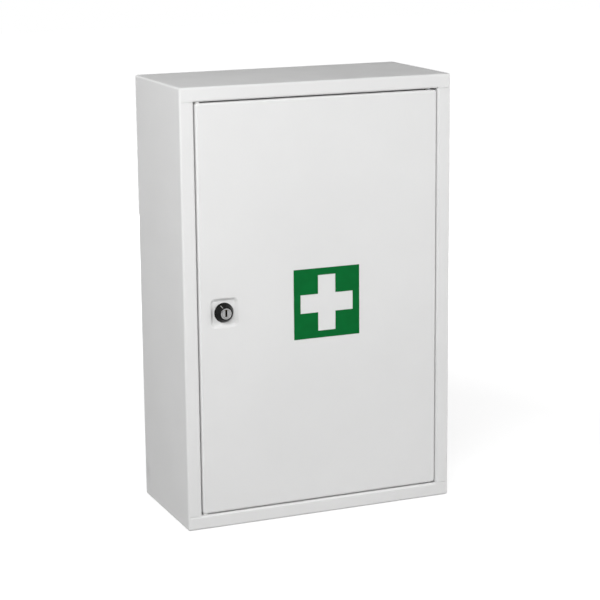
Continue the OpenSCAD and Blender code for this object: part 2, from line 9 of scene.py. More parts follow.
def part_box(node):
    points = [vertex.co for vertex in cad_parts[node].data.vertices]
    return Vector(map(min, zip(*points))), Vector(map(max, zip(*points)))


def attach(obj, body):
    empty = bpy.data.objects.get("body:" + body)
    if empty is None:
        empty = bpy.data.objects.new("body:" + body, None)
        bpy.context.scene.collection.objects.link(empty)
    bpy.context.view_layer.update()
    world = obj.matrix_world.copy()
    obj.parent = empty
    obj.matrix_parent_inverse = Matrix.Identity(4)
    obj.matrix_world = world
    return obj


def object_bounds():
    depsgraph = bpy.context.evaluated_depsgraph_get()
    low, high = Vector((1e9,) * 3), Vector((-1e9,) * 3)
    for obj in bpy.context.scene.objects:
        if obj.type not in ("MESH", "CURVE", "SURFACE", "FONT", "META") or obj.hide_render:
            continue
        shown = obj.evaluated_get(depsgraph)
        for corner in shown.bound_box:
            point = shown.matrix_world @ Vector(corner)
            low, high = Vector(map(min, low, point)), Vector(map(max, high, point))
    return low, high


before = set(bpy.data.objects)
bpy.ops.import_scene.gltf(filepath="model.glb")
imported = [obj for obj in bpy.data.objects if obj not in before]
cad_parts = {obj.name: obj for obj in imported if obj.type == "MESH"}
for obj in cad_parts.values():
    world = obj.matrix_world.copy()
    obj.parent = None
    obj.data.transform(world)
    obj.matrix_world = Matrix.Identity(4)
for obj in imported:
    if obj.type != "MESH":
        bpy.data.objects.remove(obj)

bl_info = {
    "name": "Lockable Medicine Cabinet",
    "version": (1, 0, 0),
    "blender": (4, 5, 0),
    "location": "View3D > Sidebar > Cabinet",
    "description": "Finishes and small details for a folded steel medicine cabinet",
    "category": "Object",
}

CAD_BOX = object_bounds()
CAD_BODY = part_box("body_wrap")
MM = 0.001
WHITE = (1.0, 1.0, 1.0, 1.0)

# Thickness of the sheet that the body is folded from.
SHEET = 0.8 * MM

# Width of the camera's sensor in millimetres.
SENSOR_W = 36.0


# ------------------------------------------------------------------ settings


def colour_setting(name, description, default):
    return FloatVectorProperty(
        name=name, description=description, default=default, subtype="COLOR", size=3,
        min=0.0, max=1.0,
    )


def length_setting(name, description, default):
    return FloatProperty(
        name=name, description=description, default=default, unit="LENGTH", min=0.0,
        precision=5,
    )


def power_setting(name, description, default):
    return FloatProperty(
        name=name, description=description, default=default, unit="POWER", min=0.0)


def share_setting(name, description, default):
    return FloatProperty(
        name=name, description=description, default=default, subtype="FACTOR",
        min=0.0, max=1.0,
    )


class CabinetPaintSettings(bpy.types.PropertyGroup):
    colour: colour_setting("Colour", "Colour of the powder coat", (0.80, 0.80, 0.797))
    clouding: share_setting("Clouding", "How much the coat's shade drifts", 0.03)
    roughness: share_setting("Roughness", "Roughness of the coat", 0.52)
    peel_size: length_setting("Peel size", "Size of the coat's orange peel", 2.4 * MM)
    peel_depth: length_setting("Peel depth", "Height of the orange peel", 0.045 * MM)
    grain_size: length_setting("Grain size", "Size of the coat's fine grain", 0.7 * MM)


class CabinetMetalSettings(bpy.types.PropertyGroup):
    zinc: colour_setting("Zinc", "Colour of the zinc plate", (0.42, 0.43, 0.45))
    zinc_roughness: share_setting("Zinc roughness", "Roughness of the zinc plate", 0.34)
    # A copy of the zinc plate made darker: painted shade for the hinges' spacers in the door's
    # gap.
    ring_steel: colour_setting("Gap shaded zinc", "Colour of the hinges' spacers", (0.20, 0.20, 0.20))
    chrome: colour_setting("Chrome", "Colour of the key plug", (0.32, 0.32, 0.32))
    chrome_roughness: share_setting("Chrome roughness", "Roughness of the plug", 0.16)
    # Far darker than bare brass: painted shade for the wafers deep in the keyhole.
    brass: colour_setting("Brass", "Colour of the wafers", (0.20, 0.14, 0.06))


class CabinetTrimSettings(bpy.types.PropertyGroup):
    sign_green: colour_setting("Sign green", "Colour of the sign", (0.0015, 0.130, 0.027))
    lock_black: colour_setting("Lock black", "Colour of the lock's head", (0.006, 0.006, 0.006))
    index_white: colour_setting("Index white", "Paint in the index groove", (0.30, 0.30, 0.29))
    nylon: colour_setting("Nylon", "Colour of the nylon pieces", (0.86, 0.86, 0.845))
    rubber: colour_setting("Rubber", "Colour of the door's buffers", (0.018, 0.018, 0.019))


class CabinetWeldSettings(bpy.types.PropertyGroup):
    radius: length_setting("Radius", "Radius of a spot weld's mark", 2.2 * MM)
    height: length_setting("Height", "Height of the mark's edge", 0.24 * MM)
    dish: length_setting("Dish", "Depth of the mark's dish", 0.2 * MM)
    pitch: length_setting("Pitch", "Greatest distance between marks", 46 * MM)


class CabinetStageSettings(bpy.types.PropertyGroup):
    floor_colour: colour_setting("Floor", "Colour of the floor", (0.45, 0.45, 0.45))
    near_lift: share_setting("Near lift", "White added to the floor at the cabinet", 0.72)
    near_reach: length_setting("Near reach", "How far the floor keeps the shadow", 0.45)
    far_reach: length_setting("Far reach", "Where the floor is plain white", 1.0)
    ambient: FloatProperty(
        name="Ambient", description="Strength of the light from all round", default=0.08,
        min=0.0)
    key_power: power_setting("Key lamp", "Power of the soft lamp in front, at the left", 21.6)
    strip_power: power_setting("Strip lamp", "Power of the tall lamp at the left", 3.85)
    fill_power: power_setting("Fill lamp", "Power of the low lamp at the right", 13.2)
    edge_power: power_setting("Edge lamp", "Power of the small lamp behind, at the left", 1.0)
    right_power: power_setting("Right lamp", "Power of the lamp past the right side", 4.0)
    rear_power: power_setting("Rear lamp", "Power of the lamp behind", 13.0)
    azimuth: FloatProperty(
        name="Azimuth", description="Camera's direction round the cabinet",
        default=math.radians(-22.67), subtype="ANGLE")
    elevation: FloatProperty(
        name="Elevation", description="Camera's height above the horizon",
        default=math.radians(12.66), subtype="ANGLE")
    roll: FloatProperty(
        name="Roll", description="Camera's turn about its own axis",
        default=math.radians(-0.54), subtype="ANGLE")
    distance: length_setting("Distance", "Camera's distance from its target", 2.0093)
    lens: FloatProperty(
        name="Lens", description="Focal length in millimetres on a %g mm sensor" % SENSOR_W,
        default=116.6, min=1.0)


SETTINGS = {
    "cabinet_paint": CabinetPaintSettings,
    "cabinet_metal": CabinetMetalSettings,
    "cabinet_trim": CabinetTrimSettings,
    "cabinet_welds": CabinetWeldSettings,
    "cabinet_stage": CabinetStageSettings,
}


# ------------------------------------------------------------------ finishes


def add_node(tree, kind, inputs=(), **options):
    """A node with its options set and each input linked or given its value."""
    made = tree.nodes.new(kind)
    for key, value in options.items():
        setattr(made, key, value)
    for key, value in dict(inputs).items():
        if isinstance(value, bpy.types.NodeSocket):
            tree.links.new(value, made.inputs[key])
        else:
            made.inputs[key].default_value = value
    return made


class Finish:
    """One material: its nodes, read in object coordinates, round a Principled surface."""

    def __init__(self, name, colour, roughness, metallic=0.0):
        self.material = bpy.data.materials.new(name)
        self.material.use_nodes = True
        self.tree = self.material.node_tree
        self.surface = self.tree.nodes["Principled BSDF"]
        self.set("Base Color", (*colour, 1.0))
        self.set("Roughness", roughness)
        self.set("Metallic", metallic)
        self.place = self.tree.nodes.new("ShaderNodeTexCoord").outputs["Object"]

    def set(self, socket, value):
        self.surface.inputs[socket].default_value = value

    def feed(self, socket, output):
        self.tree.links.new(output, self.surface.inputs[socket])

    def node(self, kind, inputs=(), **options):
        return add_node(self.tree, kind, inputs, **options)

    def shifted(self, centre, scale=(1.0, 1.0, 1.0)):
        """Object coordinates measured from centre, then scaled."""
        moved = self.node(
            "ShaderNodeVectorMath", {0: self.place, 1: tuple(-c for c in centre)},
            operation="ADD")
        mapping = self.node("ShaderNodeMapping", {"Vector": moved.outputs[0], "Scale": scale})
        return mapping.outputs[0]

    def noise(self, cell, detail=2.0, rough=0.5, vector=None):
        """Noise whose features are about cell metres across."""
        made = self.node("ShaderNodeTexNoise", {
            "Vector": vector or self.place, "Scale": 1.0 / cell, "Detail": detail,
            "Roughness": rough})
        return made.outputs["Fac"]

    def remap(self, value, low, high, from_low=0.35, from_high=0.65):
        """From the range that most of a noise lies in, or another, to low and high."""
        made = self.node("ShaderNodeMapRange", {
            "Value": value, "From Min": from_low, "From Max": from_high, "To Min": low,
            "To Max": high})
        return made.outputs["Result"]

    def maths(self, operation, a, b):
        return self.node("ShaderNodeMath", {0: a, 1: b}, operation=operation).outputs[0]

    def blend(self, factor, first, second):
        """A colour between two colours or colour outputs."""
        made = self.node("ShaderNodeMix", data_type="RGBA")
        self.tree.links.new(factor, made.inputs[0])
        for index, value in ((6, first), (7, second)):
            if isinstance(value, bpy.types.NodeSocket):
                self.tree.links.new(value, made.inputs[index])
            else:
                made.inputs[index].default_value = (*value, 1.0)
        return made.outputs[2]

    def relief(self, height, depth):
        """Bump of the given depth, over what the surface already has."""
        made = self.node("ShaderNodeBump", {
            "Height": height, "Distance": depth, "Strength": 1.0})
        before = self.surface.inputs["Normal"]
        if before.is_linked:
            self.tree.links.new(before.links[0].from_socket, made.inputs["Normal"])
        self.feed("Normal", made.outputs["Normal"])

    def tint(self, cell, first, second, detail=3.0):
        """A base colour that drifts between two colours."""
        drift = self.remap(self.noise(cell, detail), 0.0, 1.0)
        self.feed("Base Color", self.blend(drift, first, second))

    def sheen(self, cell, low, high, detail=3.0):
        """A roughness that drifts between two values."""
        self.feed("Roughness", self.remap(self.noise(cell, detail), low, high))

    def grain(self, cell, depth, detail=3.0, rough=0.5):
        """Relief from a noise."""
        self.relief(self.noise(cell, detail, rough), depth)


def scaled(colour, factor):
    """A colour made lighter or darker."""
    return tuple(min(1.0, c * factor) for c in colour)


def powder_coat(settings):
    """A fine-textured semi-gloss powder coat whose shade drifts a little."""
    cloud_size, fleck_size, sheen_size = 110 * MM, 1.1 * MM, 28 * MM
    fleck_share, fleck_shade, side_shade_tone, grain_share = 0.35, 0.965, 0.8, 0.35
    colour, rough = settings.colour, settings.roughness
    coat = Finish("powder_coat", colour, rough)
    cloud = coat.remap(coat.noise(cloud_size, 3.0), 0.0, 1.0)
    fleck = coat.remap(coat.noise(fleck_size, 3.0, 0.6), 0.0, 1.0)
    base = coat.blend(cloud, scaled(colour, 1.0 - settings.clouding), colour)
    flecked = coat.blend(
        coat.maths("MULTIPLY", fleck, fleck_share), base, scaled(colour, fleck_shade))
    # The base colour darkens in a soft patch low on the left side: painted shade.
    coat.feed("Base Color", coat.blend(side_shade_mask(coat), flecked, scaled(colour, side_shade_tone)))
    coat.sheen(sheen_size, rough - 0.05, rough + 0.07, detail=4.0)
    coat.set("Specular IOR Level", 0.2)
    coat.grain(settings.peel_size, settings.peel_depth, detail=2.0)
    coat.grain(settings.grain_size, settings.peel_depth * grain_share, detail=2.0, rough=0.6)
    return coat.material


def side_shade_mask(coat):
    """Painted shade: a soft darkening low on the left side near its rear edge, strongest in its
    middle and 0 off it.
    """
    centre, squeeze = (CAD_BODY[0].x, 61.0 * MM, 27.0 * MM), (1.0, 1.0, 0.6)
    ragged_size, inner, outer, strength = 6 * MM, 3 * MM, 14 * MM, 0.55
    away = coat.node("ShaderNodeVectorMath", {0: coat.shifted(centre, squeeze)},
                     operation="LENGTH").outputs["Value"]
    ragged = coat.maths("ADD", away, coat.maths(
        "MULTIPLY", coat.noise(ragged_size, 3.0), ragged_size))
    return coat.remap(ragged, strength, 0.0, inner, outer)


def plated_steel(settings, name, colour):
    """Drawn steel under zinc, with a faint bluish and straw-coloured bloom."""
    rough = settings.zinc_roughness
    straw = (colour[0] * 1.04, colour[1], colour[2] * 0.86)
    blue = (colour[0] * 0.93, colour[1] * 0.97, colour[2] * 1.05)
    zinc = Finish(name, colour, rough, metallic=1.0)
    zinc.tint(6 * MM, straw, blue)
    zinc.sheen(2.5 * MM, rough - 0.1, rough + 0.14, detail=4.0)
    drawn = zinc.shifted((0.0, 0.0, 0.0), scale=(1.0, 1.0, 14.0))
    zinc.relief(zinc.noise(3 * MM, 4.0, 0.6, drawn), 0.012 * MM)
    return zinc.material


def turned_chrome(settings, centre):
    """Plating over a turned face: fine rings round the lock's axis."""
    rough = settings.chrome_roughness
    chrome = Finish("plug_chrome", settings.chrome, rough, metallic=1.0)
    rings = chrome.node("ShaderNodeTexWave", {
        "Vector": chrome.shifted(centre), "Scale": 620.0, "Distortion": 0.6, "Detail": 2.0},
        wave_type="RINGS", rings_direction="Y")
    chrome.relief(rings.outputs["Fac"], 0.012 * MM)
    chrome.tint(1.6 * MM, scaled(settings.chrome, 0.86), settings.chrome, detail=4.0)
    chrome.sheen(0.8 * MM, rough - 0.06, rough + 0.1)
    return chrome.material


def black_casting(settings):
    """Glossy black on a cast head, a little dulled by handling."""
    black = Finish("black_lock_finish", settings.lock_black, 0.28)
    black.tint(3 * MM, settings.lock_black, scaled(settings.lock_black, 1.9), detail=4.0)
    black.sheen(1.2 * MM, 0.22, 0.42, detail=4.0)
    black.set("Specular IOR Level", 0.08)
    black.grain(0.9 * MM, 0.012 * MM)
    return black.material


def stamped_brass(settings):
    """Brass with patches of tarnish, the whole made far darker: painted shade for the wafers deep
    in the keyhole.
    """
    brass = Finish("wafer_brass", settings.brass, 0.3, metallic=1.0)
    brass.tint(1.5 * MM, scaled(settings.brass, 0.7), settings.brass, detail=4.0)
    brass.sheen(0.7 * MM, 0.22, 0.45)
    brass.grain(0.4 * MM, 0.008 * MM)
    return brass.material


def moulded_nylon(settings):
    """Pale nylon that lets a little light in."""
    nylon = Finish("moulded_nylon", settings.nylon, 0.45)
    nylon.tint(4 * MM, scaled(settings.nylon, 0.94), settings.nylon)
    nylon.sheen(1.0 * MM, 0.38, 0.55)
    nylon.set("Subsurface Weight", 0.15)
    nylon.set("Subsurface Radius", (1.0, 1.0, 0.9))
    nylon.set("Subsurface Scale", 1.0 * MM)
    nylon.grain(0.5 * MM, 0.015 * MM, detail=2.0)
    return nylon.material


def soft_rubber(settings):
    """Black rubber, a little dusty."""
    rubber = Finish("buffer_rubber", settings.rubber, 0.75)
    rubber.tint(1.8 * MM, settings.rubber, scaled(settings.rubber, 2.2), detail=5.0)
    rubber.sheen(0.9 * MM, 0.65, 0.88)
    rubber.grain(0.3 * MM, 0.03 * MM)
    return rubber.material


def sign_film(settings, paint):
    """Cut green film, through which half of the coat's orange peel shows."""
    green = settings.sign_green
    film = Finish("sign_film", green, 0.48)
    film.tint(14 * MM, scaled(green, 0.93), scaled(green, 1.05))
    film.sheen(5 * MM, 0.42, 0.54)
    film.set("Specular IOR Level", 0.07)
    film.grain(paint.peel_size, paint.peel_depth * 0.5, detail=2.0)
    return film.material


def index_paint(settings):
    """Pale paint that was wiped into the groove."""
    white = Finish("index_paint", settings.index_white, 0.5)
    white.tint(0.6 * MM, scaled(settings.index_white, 0.85), settings.index_white)
    white.sheen(0.4 * MM, 0.42, 0.6, detail=2.0)
    white.grain(0.3 * MM, 0.01 * MM, detail=2.0)
    return white.material


def finish_nodes(material, *names):
    """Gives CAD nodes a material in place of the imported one."""
    for name in names:
        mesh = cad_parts[name].data
        mesh.materials.clear()
        mesh.materials.append(material)


# ------------------------------------------------------------------ meshes


def new_piece(name, mesh_data, material, body):
    """An object at the origin that rides on a CAD body."""
    piece = bpy.data.objects.new(name, mesh_data)
    bpy.context.scene.collection.objects.link(piece)
    piece.data.materials.clear()
    piece.data.materials.append(material)
    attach(piece, body)
    return piece


def lock_axis():
    """Where the lock's axis meets the plane of the plug's face."""
    low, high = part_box("key_plug")
    return Vector(((low.x + high.x) / 2, low.y, (low.z + high.z) / 2))


# ------------------------------------------------------------------ geometry nodes

FLOAT, WHOLE, MATERIAL = "NodeSocketFloat", "NodeSocketInt", "NodeSocketMaterial"

# A pitch longer than the cabinet, so that a row has marks at its two ends alone.
ENDS_ONLY = 1.0


class PieceTree:
    """A Geometry Nodes tree with named inputs. Each has one called Material."""

    def __init__(self, name, **sockets):
        self.tree = bpy.data.node_groups.new(name, "GeometryNodeTree")
        face = self.tree.interface
        face.new_socket("Geometry", in_out="INPUT", socket_type="NodeSocketGeometry")
        self.identifiers = {
            key: face.new_socket(key, in_out="INPUT", socket_type=kind).identifier
            for key, kind in {**sockets, "Material": MATERIAL}.items()}
        face.new_socket("Geometry", in_out="OUTPUT", socket_type="NodeSocketGeometry")
        source = self.node("NodeGroupInput")
        self.given = {socket.name: socket for socket in source.outputs if socket.name}

    def node(self, kind, inputs=(), **options):
        return add_node(self.tree, kind, inputs, **options)

    def maths(self, operation, a, b):
        return self.node("ShaderNodeMath", {0: a, 1: b}, operation=operation).outputs[0]

    def end(self, geometry):
        """Makes the instances real and gives them the material."""
        real = self.node("GeometryNodeRealizeInstances", {"Geometry": geometry})
        coated = self.node("GeometryNodeSetMaterial", {
            "Geometry": real.outputs[0], "Material": self.given["Material"]})
        sink = self.node("NodeGroupOutput")
        self.tree.links.new(coated.outputs[0], sink.inputs[0])

    def grow(self, name, start, **values):
        """Runs the tree on the start mesh and returns its result as a plain mesh."""
        holder = bpy.data.objects.new(name + "_start", start)
        bpy.context.scene.collection.objects.link(holder)
        modifier = holder.modifiers.new(name, "NODES")
        for key, value in values.items():
            modifier[self.identifiers[key]] = value
        modifier.node_group = self.tree
        bpy.context.view_layer.update()
        depsgraph = bpy.context.evaluated_depsgraph_get()
        mesh = bpy.data.meshes.new_from_object(holder.evaluated_get(depsgraph))
        holder.modifiers.clear()
        bpy.data.objects.remove(holder)
        if not mesh.polygons:
            raise RuntimeError(name + " came out empty")
        mesh.name = name
        return mesh


def weld_tree():
    """Puts a weld mark at each step along every edge of the start mesh."""
    smallest, largest = 0.93, 1.05
    welds = PieceTree("weld_marks", Radius=FLOAT, Height=FLOAT, Dish=FLOAT, Pitch=FLOAT,
                      Seed=WHOLE)
    given = welds.given
    curve = welds.node("GeometryNodeMeshToCurve", {"Mesh": given["Geometry"]})
    points = welds.node("GeometryNodeResampleCurve", {
        "Curve": curve.outputs[0], "Length": given["Pitch"]}, mode="LENGTH")
    facing = welds.node("GeometryNodeInputNamedAttribute", {"Name": "facing"},
                        data_type="FLOAT_VECTOR")
    turned = welds.node("FunctionNodeAlignRotationToVector", {
        "Vector": facing.outputs["Attribute"]}, axis="Z")
    size = welds.node("FunctionNodeRandomValue", {"Seed": given["Seed"]}, data_type="FLOAT")
    size.inputs[2].default_value, size.inputs[3].default_value = smallest, largest
    marks = welds.node("GeometryNodeInstanceOnPoints", {
        "Points": points.outputs[0], "Instance": weld_mark(welds),
        "Rotation": turned.outputs[0], "Scale": size.outputs[1]})
    welds.end(marks.outputs[0])
    return welds


def weld_mark(welds):
    """One mark: a low frustum with a dished top, its foot as far under the sheet as it is
    high."""
    sides, dish_rings, shoulder_share = 20, 3, 0.8
    given = welds.given
    shoulder = welds.maths("MULTIPLY", given["Radius"], shoulder_share)
    depth = welds.maths("MULTIPLY", given["Height"], 2.0)
    cone = welds.node("GeometryNodeMeshCone", {
        "Vertices": sides, "Side Segments": 1, "Fill Segments": dish_rings,
        "Radius Top": shoulder, "Radius Bottom": given["Radius"], "Depth": depth},
        fill_type="TRIANGLE_FAN")
    place = welds.node("GeometryNodeInputPosition").outputs[0]
    parts = welds.node("ShaderNodeSeparateXYZ", {0: place})
    flat = welds.node("ShaderNodeCombineXYZ", {0: parts.outputs[0], 1: parts.outputs[1]})
    reach = welds.node("ShaderNodeVectorMath", {0: flat.outputs[0]}, operation="LENGTH")
    share = welds.node("ShaderNodeMapRange", {
        "Value": reach.outputs["Value"], "From Min": 0.0, "From Max": shoulder,
        "To Min": -1.0, "To Max": 0.0})
    drop = welds.node("ShaderNodeCombineXYZ", {
        2: welds.maths("MULTIPLY", share.outputs[0], given["Dish"])})
    top = welds.node("FunctionNodeCompare", {0: parts.outputs[2], 1: given["Height"]},
                     data_type="FLOAT", operation="GREATER_THAN")
    dished = welds.node("GeometryNodeSetPosition", {
        "Geometry": cone.outputs["Mesh"], "Selection": top.outputs[0],
        "Offset": drop.outputs[0]})
    sunk = welds.node("ShaderNodeCombineXYZ", {
        2: welds.maths("MULTIPLY", given["Height"], -1.0)})
    return welds.node("GeometryNodeTransform", {
        "Geometry": dished.outputs[0], "Translation": sunk.outputs[0]}).outputs[0]


def thread_tree():
    """Repeats the start mesh backwards at the thread's pitch."""
    thread = PieceTree("thread_turns", Turns=WHOLE, Pitch=FLOAT)
    step = thread.node("ShaderNodeCombineXYZ", {1: thread.given["Pitch"]})
    line = thread.node("GeometryNodeMeshLine", {
        "Count": thread.given["Turns"], "Offset": step.outputs[0]})
    turns = thread.node("GeometryNodeInstanceOnPoints", {
        "Points": line.outputs[0], "Instance": thread.given["Geometry"]})
    thread.end(turns.outputs[0])
    return thread


def guide_mesh(name, rows):
    """One edge for each row. A row is (start, end, the way that its marks face)."""
    mesh = bpy.data.meshes.new(name)
    points = [point for start, end, _ in rows for point in (start, end)]
    mesh.from_pydata(points, [(2 * n, 2 * n + 1) for n in range(len(rows))], [])
    facing = mesh.attributes.new("facing", "FLOAT_VECTOR", "POINT")
    for n, (_, _, way) in enumerate(rows):
        facing.data[2 * n].vector = way
        facing.data[2 * n + 1].vector = way
    return mesh


# ------------------------------------------------------------------ operators


class CABINET_OT_sheet_metal(bpy.types.Operator):
    """Powder coats the body, the door, the uprights and the shelves"""

    bl_idname = "cabinet.sheet_metal"
    bl_label = "Coat the sheet metal"

    def execute(self, context):
        coat = powder_coat(context.scene.cabinet_paint)
        finish_nodes(coat, "body_wrap", "top_pan", "bottom_pan", "door_panel",
                     "left_front_upright", "left_rear_upright", "right_front_upright",
                     "right_rear_upright", "upper_shelf", "lower_shelf")
        return {"FINISHED"}


class CABINET_OT_hinges(bpy.types.Operator):
    """Plates the hinges' pins and spacers, coats their plates and finishes the door's glides"""

    bl_idname = "cabinet.hinges"
    bl_label = "Finish the hinges"

    def execute(self, context):
        metal = context.scene.cabinet_metal
        finish_nodes(plated_steel(metal, "zinc_plate", metal.zinc),
                     "upper_hinge_pin", "lower_hinge_pin")
        # The spacers get a darker copy of the zinc plate: painted shade from the door's gap.
        finish_nodes(plated_steel(metal, "ring_steel", metal.ring_steel),
                     "upper_hinge_spacer", "lower_hinge_spacer")
        coat = bpy.data.materials["powder_coat"]
        finish_nodes(coat, "upper_frame_hinge_plate", "lower_frame_hinge_plate",
                     "upper_door_hinge_plate", "lower_door_hinge_plate")
        finish_nodes(moulded_nylon(context.scene.cabinet_trim), "door_corner_glides")
        return {"FINISHED"}


class CABINET_OT_shelf_fittings(bpy.types.Operator):
    """Plates the shelf clips and gives the door's buffers rubber"""

    bl_idname = "cabinet.shelf_fittings"
    bl_label = "Finish the clips and buffers"

    def execute(self, context):
        finish_nodes(bpy.data.materials["zinc_plate"], "upper_shelf_clips", "lower_shelf_clips")
        finish_nodes(soft_rubber(context.scene.cabinet_trim), "door_buffers")
        return {"FINISHED"}


class CABINET_OT_lock(bpy.types.Operator):
    """Finishes the lock's pieces"""

    bl_idname = "cabinet.lock"
    bl_label = "Finish the lock"

    def execute(self, context):
        scene = context.scene
        zinc = bpy.data.materials["zinc_plate"]
        finish_nodes(zinc, "lock_nut", "lock_tooth_washer", "lock_cam", "cam_washer", "cam_screw")
        finish_nodes(turned_chrome(scene.cabinet_metal, lock_axis()), "key_plug")
        finish_nodes(stamped_brass(scene.cabinet_metal), "lock_wafers")
        black = black_casting(scene.cabinet_trim)
        finish_nodes(black, "lock_housing")
        new_piece("lock_barrel_thread", barrel_thread(black), black, "door")
        paint = index_paint(scene.cabinet_trim)
        new_piece("lock_index_paint", index_wedge(), paint, "door")
        return {"FINISHED"}


def barrel_thread(material):
    """Turns of thread on the two round sides of the barrel, behind the nut."""
    barrel_r, flat_x, pitch, crest = 8.0 * MM, 6.8 * MM, 1.0 * MM, 0.35 * MM
    root, half, steps = 0.05 * MM, 0.42 * MM, 16
    nut_gap, end_gap = 0.6 * MM, 0.5 * MM
    start_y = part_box("lock_nut")[1].y + nut_gap
    end_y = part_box("lock_housing")[1].y - end_gap
    axis = lock_axis()
    reach = math.asin(flat_x / barrel_r)
    mesh = bmesh.new()
    for middle in (math.pi / 2, -math.pi / 2):
        rings = []
        for step in range(steps + 1):
            angle = middle + reach * (2 * step / steps - 1)
            ring = []
            for radius, offset in ((barrel_r - root, -half), (barrel_r + crest, 0.0),
                                   (barrel_r - root, half)):
                ring.append(mesh.verts.new((
                    axis.x + radius * math.cos(angle), start_y + offset,
                    axis.z + radius * math.sin(angle))))
            rings.append(ring)
        close_tube(mesh, rings)
    bmesh.ops.recalc_face_normals(mesh, faces=mesh.faces)
    turn = bpy.data.meshes.new("thread_turn")
    mesh.to_mesh(turn)
    mesh.free()
    turns = int((end_y - start_y) / pitch) + 1
    return thread_tree().grow(
        "lock_barrel_thread", turn, Turns=turns, Pitch=pitch, Material=material)


def close_tube(mesh, rings):
    """Joins rings of vertices into a closed skin with an end face on each end."""
    count = len(rings[0])
    for first, second in zip(rings, rings[1:]):
        for n in range(count):
            mesh.faces.new((first[n], first[(n + 1) % count], second[(n + 1) % count], second[n]))
    mesh.faces.new(rings[0])
    mesh.faces.new(rings[-1])


def index_wedge():
    """White paint that fills the index groove down the head, nearly flush with its cone.

    The cone runs from rim_r to foot_r, at depths rim_v and foot_v behind the head's front."""
    angle, width, sunk = math.radians(119.0), 0.8 * MM, 0.03 * MM
    rim_r, rim_v, groove_d = 7.2 * MM, 0.5 * MM, 0.3 * MM
    foot_r, foot_v = 9.37 * MM, 4.49 * MM
    axis, front = lock_axis(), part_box("lock_housing")[0].y
    out = Vector((math.cos(angle), 0.0, math.sin(angle)))
    across = Vector((-math.sin(angle), 0.0, math.cos(angle)))
    profile = ((rim_r - groove_d, rim_v), (rim_r - sunk, rim_v), (foot_r - sunk, foot_v),
               (foot_r - 2 * sunk, foot_v))
    mesh = bmesh.new()
    rings = []
    for side in (-0.5, 0.5):
        ring = []
        for radius, depth in profile:
            point = Vector((axis.x, front + depth, axis.z)) + out * radius + across * side * width
            ring.append(mesh.verts.new(point))
        rings.append(ring)
    close_tube(mesh, rings)
    bmesh.ops.recalc_face_normals(mesh, faces=mesh.faces)
    wedge = bpy.data.meshes.new("lock_index_paint")
    mesh.to_mesh(wedge)
    mesh.free()
    return wedge


class CABINET_OT_sign(bpy.types.Operator):
    """Gives the first-aid sign its green film"""

    bl_idname = "cabinet.sign"
    bl_label = "Finish the sign"

    def execute(self, context):
        scene = context.scene
        finish_nodes(sign_film(scene.cabinet_trim, scene.cabinet_paint), "first_aid_sign")
        return {"FINISHED"}


class CABINET_OT_spot_welds(bpy.types.Operator):
    """Marks the spot welds on the flanges inside the body and on the frame"""

    bl_idname = "cabinet.spot_welds"
    bl_label = "Add the spot welds"

    def execute(self, context):
        settings = context.scene.cabinet_welds
        coat = bpy.data.materials["powder_coat"]
        welds = weld_tree()
        inner = welds.grow(
            "flange_spot_welds", guide_mesh("flange_rows", pan_rows() + upright_rows()),
            Radius=settings.radius, Height=settings.height, Dish=settings.dish,
            Pitch=settings.pitch, Seed=4, Material=coat)
        new_piece("flange_spot_welds", inner, coat, "cabinet")
        radius_share, height_share, dish_share = 0.8, 0.4, 0.27
        outer = welds.grow(
            "frame_corner_welds", guide_mesh("corner_rows", corner_rows()),
            Radius=settings.radius * radius_share, Height=settings.height * height_share,
            Dish=settings.dish * dish_share, Pitch=ENDS_ONLY, Seed=7, Material=coat)
        new_piece("frame_corner_welds", outer, coat, "cabinet")
        return {"FINISHED"}


def pan_rows():
    """Rows along the flanges of the top and bottom pans, which stand inside the wall sheet."""
    low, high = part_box("bottom_pan")
    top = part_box("top_pan")[1].z
    flange_x, back_y = high.x - 2 * SHEET, high.y - 2 * SHEET
    middle_z, front_gap, back_gap, corner_gap = 7.4 * MM, 40 * MM, 14 * MM, 16 * MM
    rows = []
    for z in (low.z + middle_z, top - middle_z):
        for side in (-1, 1):
            x = side * flange_x
            rows.append(((x, low.y + front_gap, z), (x, back_y - back_gap, z), (-side, 0, 0)))
        x = flange_x - corner_gap
        rows.append(((-x, back_y, z), (x, back_y, z), (0, -1, 0)))
    return rows


def upright_rows():
    """Rows down both flanges of each upright."""
    flange_t, inset, end_gap = 1.0 * MM, 3.5 * MM, 15 * MM
    rows = []
    for side, name in ((-1, "left"), (1, "right")):
        for end in ("front", "rear"):
            low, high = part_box("%s_%s_upright" % (name, end))
            x = side * (max(abs(low.x), abs(high.x)) - flange_t)
            for y in (low.y + inset, high.y - inset):
                rows.append(((x, y, low.z + end_gap), (x, y, high.z - end_gap), (-side, 0, 0)))
    return rows


def corner_rows():
    """Pairs of dressed welds on the frame's front: over the door, and at its right corners."""
    front = CAD_BODY[0].y
    over_z, over_left, over_right = 448.0 * MM, -137.0 * MM, 121.5 * MM
    corner_x, corner_high, corner_low = 144.5 * MM, 447.0 * MM, 7.0 * MM
    return [((over_left, front, over_z), (over_right, front, over_z), (0, -1, 0)),
            ((corner_x, front, corner_high), (corner_x, front, corner_low), (0, -1, 0))]


class CABINET_OT_stage(bpy.types.Operator):
    """Sets up the floor, the lamps, the world and the camera"""

    bl_idname = "cabinet.stage"
    bl_label = "Set the stage"

    def execute(self, context):
        settings = context.scene.cabinet_stage
        make_floor(settings)
        make_world(context.scene, settings)
        make_lamps(settings)
        make_camera(context.scene, settings)
        context.scene.view_settings.view_transform = "Standard"
        return {"FINISHED"}


def seen_directly(tree):
    """1 for camera, glossy and transmission rays."""
    path = add_node(tree, "ShaderNodeLightPath")
    total = path.outputs["Is Camera Ray"]
    for name in ("Is Glossy Ray", "Is Transmission Ray"):
        most = add_node(tree, "ShaderNodeMath", {0: total, 1: path.outputs[name]},
                        operation="MAXIMUM")
        total = most.outputs[0]
    return total


